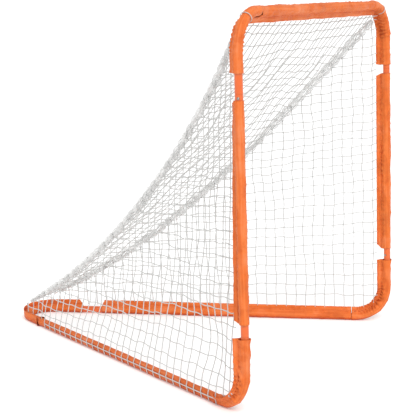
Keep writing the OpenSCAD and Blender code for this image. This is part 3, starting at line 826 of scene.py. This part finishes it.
class SideNet:
    """The surface of one side panel, over u along the rail and v up the post."""

    def __init__(self, side, seed):
        self.side = side
        t = np.linspace(-0.02, 1.0, 400)
        away = seam_point(side, t) - FRONT[side]
        basis = np.column_stack([RAIL[side], POST, INWARD[side]])
        self.seam_u, self.seam_v, self.seam_in = (away @ np.linalg.inv(basis).T).T
        self.bulge = Waves(seed, 420 * MM, 360 * MM)
        self.shift_u = Waves(seed + 1, 260 * MM, 300 * MM)
        self.shift_v = Waves(seed + 2, 300 * MM, 260 * MM)
        # How far the rail's flap has turned to the outside at each place along the rail
        rear = RAIL_L - reach_along("rear_sleeve", REAR, -RAIL[side])[1]
        self.roll_places = [60 * MM, 130 * MM, rear - 60 * MM, rear + 5 * MM]
        self.roll_shares = [0, 1, 1, 0] if side == "left" else [0, 0, 0, 0]

    def roll(self, u):
        return np.interp(u, self.roll_places, self.roll_shares)

    def low(self, u):
        """The flap's free edge, above the rail's centre."""
        return mix(FLAP_EDGE, ROLLED_TOP, self.roll(u))

    def top(self, u):
        return np.interp(u, self.seam_u, self.seam_v)

    def far(self, v):
        return np.interp(-v, -self.seam_v, self.seam_u)

    def place(self, u, v):
        u, v = np.broadcast_arrays(np.asarray(u, float), np.asarray(v, float))
        top = self.top(u)
        share = np.clip(v / top, 0, 1)
        drawn = np.interp(u, self.seam_u, self.seam_in) * share
        edge = np.minimum.reduce([u - FLAP_EDGE, v - self.low(u), top - v])
        free = np.clip(edge / FREE_EDGE, 0, 1)
        drawn = drawn + NET_BULGE * self.bulge(u, v) * free
        rise = np.clip((v - self.low(u)) / FOOT, 0, 1)
        drawn = drawn - OVER_RAIL * self.roll(u) * (1 - smooth_step(rise))
        drawn = drawn - FLAP_FACE * (1 - self.roll(u)) * (1 - smooth_step(rise / FLAP_FOOT))
        swung = FLAP_EDGE * math.sin(BOTTOM_FLAP_SWING) if self.side == "left" else 0.0
        near_post = ((1 - smooth_step((u - FLAP_EDGE) / SWING_ALONG))
                     * (1 - smooth_step((v - SWING_FROM) / SWING_UP)))
        drawn = drawn - (swung - OVER_RAIL * self.roll(u)
                         * (1 - smooth_step(rise))).clip(0) * near_post
        u = u + NET_DRIFT * self.shift_u(u, v) * free
        v = v + NET_DRIFT * self.shift_v(u, v) * free
        return (FRONT[self.side] + u[..., None] * RAIL[self.side] + v[..., None] * POST
                + drawn[..., None] * INWARD[self.side])

    def row_rise(self, v):
        """How much a row that leaves the seam at v has been drawn up at the post."""
        return ROW_RISE * np.interp(v, RISE_HEIGHTS, (0, 1, 0))

    def hem(self, u):
        """Points of a cord sewn down over the outside of the rail's sleeve, from its lower end."""
        low, roll = self.low(u), self.roll(u)
        crease = mix(FLAP_ROOT, -UNDER_RAIL, roll)
        out = mix(FLAP_FACE, OVER_RAIL, roll)
        tucked = mix(out, RING_R + 1.5 * MM, roll)
        return [FRONT[self.side] + u * RAIL[self.side] + v * POST - o * INWARD[self.side]
                for v, o in ((crease, tucked), (mix(crease, low, 0.55), out),
                             (mix(crease, low, 0.8), out))]


def lay_cord(tubes, line, parts=5, twist=None):
    """A cord through a line of knots, rounded between them. twist tilts it at each knot."""
    line = np.asarray(line)
    if len(line) < 2:
        return
    before = np.vstack([2 * line[0] - line[1], line[:-1]])
    after = np.vstack([line[1:], 2 * line[-1] - line[-2]])
    slope = (after - before) / 2
    if twist is not None:
        slope = slope + twist
    fine = []
    for k in range(len(line) - 1):
        for t in np.arange(parts) / parts:
            h = (2 * t**3 - 3 * t**2 + 1, t**3 - 2 * t**2 + t, -2 * t**3 + 3 * t**2, t**3 - t**2)
            fine.append(h[0] * line[k] + h[1] * slope[k] + h[2] * line[k + 1] + h[3] * slope[k + 1])
    fine.append(line[-1])
    tubes.add(fine, CORD_R)


def knot_twists(count, rng, amount, direction):
    """Tilts of one cord at its knots, which alternate because each knot is tied the other way."""
    sign = (-1.0) ** np.arange(count)
    size = amount * (0.75 * sign + rng.normal(0, 0.45, count))
    return size[:, None] * direction


def make_side_net(side, seed, material):
    net = SideNet(side, seed)
    rng = np.random.default_rng(seed)
    tubes = Tubes(6)
    first = FLAP_EDGE + MESH_UP
    columns = np.arange(FLAP_EDGE + 0.4 * MESH_ALONG, net.seam_u.max() - 6 * MM, MESH_ALONG)
    rows = np.arange(first, net.seam_v.max(), MESH_UP)
    if side == "left":
        rows = np.concatenate([[first - MESH_UP + 4 * MM], rows])
    shape = (len(rows), len(columns))
    u = columns[None, :] + rng.normal(0, STRAY_ALONG, shape)
    rise = net.row_rise(rows)
    slack_row = (1 - columns[None, :] / net.far(rows)[:, None]).clip(0)
    v = rows[:, None] + rise[:, None] * slack_row + rng.normal(0, STRAY_UP, shape)
    inside = (v < net.top(u) - 6 * MM) & (v > net.low(u) + 2 * MM)
    knots = net.place(u, v)
    across = INWARD[side]
    for c in range(len(columns)):
        used = inside[:, c]
        line = [*net.hem(columns[c]), net.place(columns[c], net.low(columns[c])),
                *knots[used, c], net.place(columns[c], net.top(columns[c]))]
        twist = knot_twists(len(line), rng, COLUMN_TILT, RAIL[side])
        lay_cord(tubes, line, twist=twist * (np.arange(len(line)) > 3)[:, None])
    over_rail = columns[net.roll(columns) > 0.9]
    if len(over_rail) > 1:
        lay_cord(tubes, [net.hem(u)[1] for u in over_rail])
    for r in range(len(rows)):
        far = net.far(rows[r])
        line = [net.place(FLAP_EDGE - 1 * MM, rows[r] + rise[r]), *knots[r, inside[r]],
                net.place(far, net.top(far))]
        twist = knot_twists(len(line), rng, ROW_TILT, POST)
        lay_cord(tubes, line, twist=twist)
    for r, c in zip(*np.nonzero(inside)):
        tubes.ball(knots[r, c] + rng.normal(0, 0.3 * MM) * across,
                   KNOT_SIZE * rng.uniform(0.9, 1.2),
                   [RAIL[side], POST, across])
    obj = tubes.build(f"{side}_side_net_cords")
    paint(obj, material)
    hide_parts(f"{side}_side_net")
    return obj


class TopNet:
    """The surface of the top panel, over w from side to side and t down the slope."""

    def __init__(self, seed):
        # The rear edge of the panel stands just above the rear bend
        self.rear = REAR + vec(0, REAR_R - REAR_R / math.sin(REAR_HALF_ANGLE) - 30 * MM,
                               NET_INSET + 12 * MM)
        self.front = (TOP["left"] + TOP["right"]) / 2 + NET_INSET * BAR_FLAP
        run = unit(self.rear - self.front)
        self.down = vec(0, -run[2], run[1])
        self.bulge = Waves(seed, 0.30, 0.22)
        self.length = np.linalg.norm(self.rear - self.front)

    def place(self, w, t):
        w, t = np.broadcast_arrays(np.asarray(w, float), np.asarray(t, float))
        seam_t = mix(SEAM_FROM + 0.01, SEAM_TO - 0.02, t)
        edge = seam_point("left", seam_t)
        near_bar = smooth_step(t / 0.09)
        half = mix(HALF_SPACING - 55 * MM, -edge[..., 0], near_bar)
        t1 = t[..., None]
        mid = mix(self.front, self.rear, t1) - 4 * t1 * (1 - t1) * TOP_SAG * self.down
        edge_y = mix(self.front[1], edge[..., 1], near_bar)
        edge_z = mix(self.front[2], edge[..., 2], near_bar)
        free = smooth_step(t / 0.12) * (1 - np.abs(w) ** 6) * smooth_step((1 - t) / 0.15)
        sink = TOP_BULGE * self.bulge(w, t) * free
        return np.stack([w * half, mix(mid[..., 1], edge_y, w * w) + sink * self.down[1],
                         mix(mid[..., 2], edge_z, w * w) + sink * self.down[2]], -1)


def corner_tie(side):
    """The cord tied round the sleeve in each top corner, open at the flap."""
    leg = CORNER_R + 20 * MM
    path = bent_path(TOP[side], -POST, vec(-HAND[side], 0, 0), CORNER_R, leg, leg, POST_FLAP[side])
    row = round(TIE_PLACE * len(path["s"]))
    flap = path["flap"][row]
    side_way = np.cross(path["ahead"][row], flap)
    angle = np.radians(np.linspace(32, 328, 40))[:, None]
    return (path["place"][row] + SLACK * flap
            + TIE_R * (np.cos(angle) * flap + np.sin(angle) * side_way))


def make_top_net(seed, material):
    net = TopNet(seed)
    rng = np.random.default_rng(seed)
    tubes = Tubes(5)
    level = 1.02 * MESH_UP / net.length
    levels = np.arange(0.5 * level, 0.995, level)
    half_widths = net.place(1.0, levels)[:, 0]
    half_count = round(HALF_SPACING / MESH_ALONG)
    spots = (np.arange(-half_count, half_count + 1) + 0.5) * MESH_ALONG
    shape = (len(levels), len(spots))
    x = spots[None, :] + rng.normal(0, STRAY_TOP, shape)
    t = levels[:, None] + rng.normal(0, STRAY_TOP, shape) / net.length
    w = x / half_widths[:, None]
    inside = np.abs(w) < 1 - 9 * MM / half_widths[:, None]
    knots = net.place(np.clip(w, -1, 1), t)
    bar_half = net.place(1.0, 0.0)[0]
    slope_way = np.cross(vec(1, 0, 0), net.down)
    for c in range(len(spots)):
        used = np.nonzero(inside[:, c])[0]
        start_w = spots[c] / bar_half
        if abs(start_w) > 0.995 or len(used) == 0:
            continue
        last = used.max()
        end = (net.place(np.sign(spots[c]), levels[last] + 0.6 * level)
               if last < len(levels) - 1 else net.place(w[last, c], 1.0))
        line = [net.place(start_w, 0.0), *knots[used, c], end]
        twist = knot_twists(len(line), rng, TOP_COLUMN_TILT, vec(1, 0, 0))
        lay_cord(tubes, line, parts=4, twist=twist)
    for r in range(len(levels)):
        line = [net.place(-1.0, levels[r]), *knots[r, inside[r]], net.place(1.0, levels[r])]
        lay_cord(tubes, line, twist=knot_twists(len(line), rng, TOP_ROW_TILT, slope_way))
    for r, c in zip(*np.nonzero(inside)):
        tubes.ball(knots[r, c], TOP_KNOT_SIZE * rng.uniform(0.9, 1.2),
                   [vec(1, 0, 0), slope_way, net.down])
    for side in SIDES:
        tubes.add(corner_tie(side), 0.8 * CORD_R)
    obj = tubes.build("top_net_cords")
    paint(obj, material)
    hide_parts("top_net")
    return obj


# ------------------------------------------------------------------ seams


STRANDS = 6
STRAND_R = 1.5 * MM
LACING_R = 1.25 * MM
# In millimetres: the bundle's radius and how it varies, and the radius of the turns at a tuft's
# ends, how much it grows by the tuft's middle and how uneven it is
BUNDLE_R = 6.5
BUNDLE_SWELL = 2.0
TURN_R = 8.0
TUFT_SWELL = 5.5
TURN_STRAY = 0.35
# Ranges that each tuft is drawn from, in turns and in millimetres
TUFT_TURNS = (5, 8)
TURN_PITCH = (5.0, 6.5)
TURN_LEAN = (9, 18)
TUFT_GAP = (1.5, 5.5)
# Where the first tuft starts, and how near the seam's end the last one may start
FIRST_TUFT = 3 * MM
LAST_TUFT = 34 * MM
TURN_POINTS = 11


def make_seam(side, seed, material):
    """The laced edges of two panels: tufts of close, slanting turns round a loose bundle."""
    rng = np.random.default_rng(seed)
    tubes = Tubes(5)
    t = np.linspace(SEAM_FROM, SEAM_TO, 260)
    line = seam_point(side, t)
    ahead = np.gradient(line, axis=0)
    ahead /= np.linalg.norm(ahead, axis=1)[:, None]
    across = np.cross(ahead, vec(0, 0, 1))
    across /= np.linalg.norm(across, axis=1)[:, None]
    over = np.cross(across, ahead)
    run = distance_along(line)

    def frame_at(at):
        """Places on the seam's middle line, and the two ways square to it, at some distances."""
        return [np.column_stack([np.interp(at, run, v[:, i]) for i in range(3)])
                for v in (line, across, over)]

    thin_start = mix(0.75, 1.0, smooth_step(run / 0.12))
    thin_end = mix(0.6, 1.0, smooth_step((run[-1] - run) / 0.15))
    size = thin_start * thin_end * SEAM_FULLNESS[side]
    for k in range(STRANDS):
        angle = 2 * math.pi * k / STRANDS + 1.2 * Waves(seed + 5 * k, 0.18, 1.0)(run, 0)
        swell = BUNDLE_R + BUNDLE_SWELL * Waves(seed + 5 * k + 1, 0.06, 1.0)(run, 0)
        radius = swell * MM * size
        offset = radius[:, None] * (np.cos(angle)[:, None] * across
                                    + np.sin(angle)[:, None] * over)
        tubes.add(line + offset, STRAND_R)

    # Each tuft is one length of cord, turned round the bundle several times
    start = FIRST_TUFT
    while start < run[-1] - LAST_TUFT:
        turns = int(rng.integers(*TUFT_TURNS))
        pitch = rng.uniform(*TURN_PITCH) * MM
        length = turns * pitch
        lean = rng.uniform(*TURN_LEAN) * MM
        share = np.linspace(0, 1, turns * TURN_POINTS + 1)
        angle = 2 * math.pi * turns * share + rng.uniform(0, 2 * math.pi)
        at = start + length * share + lean * 0.5 * np.cos(angle + 0.6)
        centre, a, o = frame_at(np.clip(at, 0, run[-1]))
        swell = (TURN_R + TUFT_SWELL * np.sin(math.pi * share) ** 0.7
                 + rng.normal(0, TURN_STRAY, len(share)))
        radius = (swell * MM * np.interp(at, run, size))[:, None]
        tubes.add(centre + radius * (np.cos(angle)[:, None] * a + np.sin(angle)[:, None] * o),
                  LACING_R)
        start += length + rng.uniform(*TUFT_GAP) * MM
    obj = tubes.build(f"{side}_seam_cords")
    paint(obj, material)
    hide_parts(f"{side}_seam")
    return obj


# ------------------------------------------------------------------ light and floor


FLOOR_SIZE = 240.0


def make_stage(material):
    bpy.ops.mesh.primitive_grid_add(x_subdivisions=2, y_subdivisions=2, size=FLOOR_SIZE)
    floor = bpy.context.object
    floor.name = "floor"
    paint(floor, material)


SKY_STRENGTH = 0.72
KEY_STRENGTH = 1.75
KEY_ANGLE = math.radians(35)
KEY_FROM = (-0.62, -0.55, 0.95)


def make_light():
    world = bpy.data.worlds.new("studio")
    world.use_nodes = True
    background = world.node_tree.nodes["Background"]
    background.inputs["Color"].default_value = (1, 1, 1, 1)
    background.inputs["Strength"].default_value = SKY_STRENGTH
    scene = bpy.context.scene
    scene.world = world
    scene.view_settings.view_transform = "Standard"
    data = bpy.data.lights.new("key", "SUN")
    data.energy = KEY_STRENGTH
    data.angle = KEY_ANGLE
    key = bpy.data.objects.new("key", data)
    key.rotation_euler = (-Vector(KEY_FROM)).to_track_quat("-Z", "Y").to_euler()
    scene.collection.objects.link(key)


# ------------------------------------------------------------------ the goal

make_camera()

fabric = sleeve_material()
thread = thread_material()
powder_coat = steel_material()
zinc = zinc_material()
twine = cord_material("net_twine", CORD_WHITE, 9 * MM)
# The seam twine is the net twine painted lighter, to offset its own shade
lacing = cord_material("seam_twine", SEAM_BRIGHTENED_WHITE, 12 * MM)

for node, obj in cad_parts.items():
    metal = zinc if node.endswith(("_spring", "_button")) else powder_coat
    paint(obj, metal)

make_sleeves(fabric, thread)
nets = [make_side_net("left", 71, twine), make_side_net("right", 83, twine),
        make_top_net(95, twine),
        make_seam("left", 131, lacing), make_seam("right", 157, lacing)]
for net in nets:
    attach(net, GOAL)

make_stage(floor_material())
make_light()
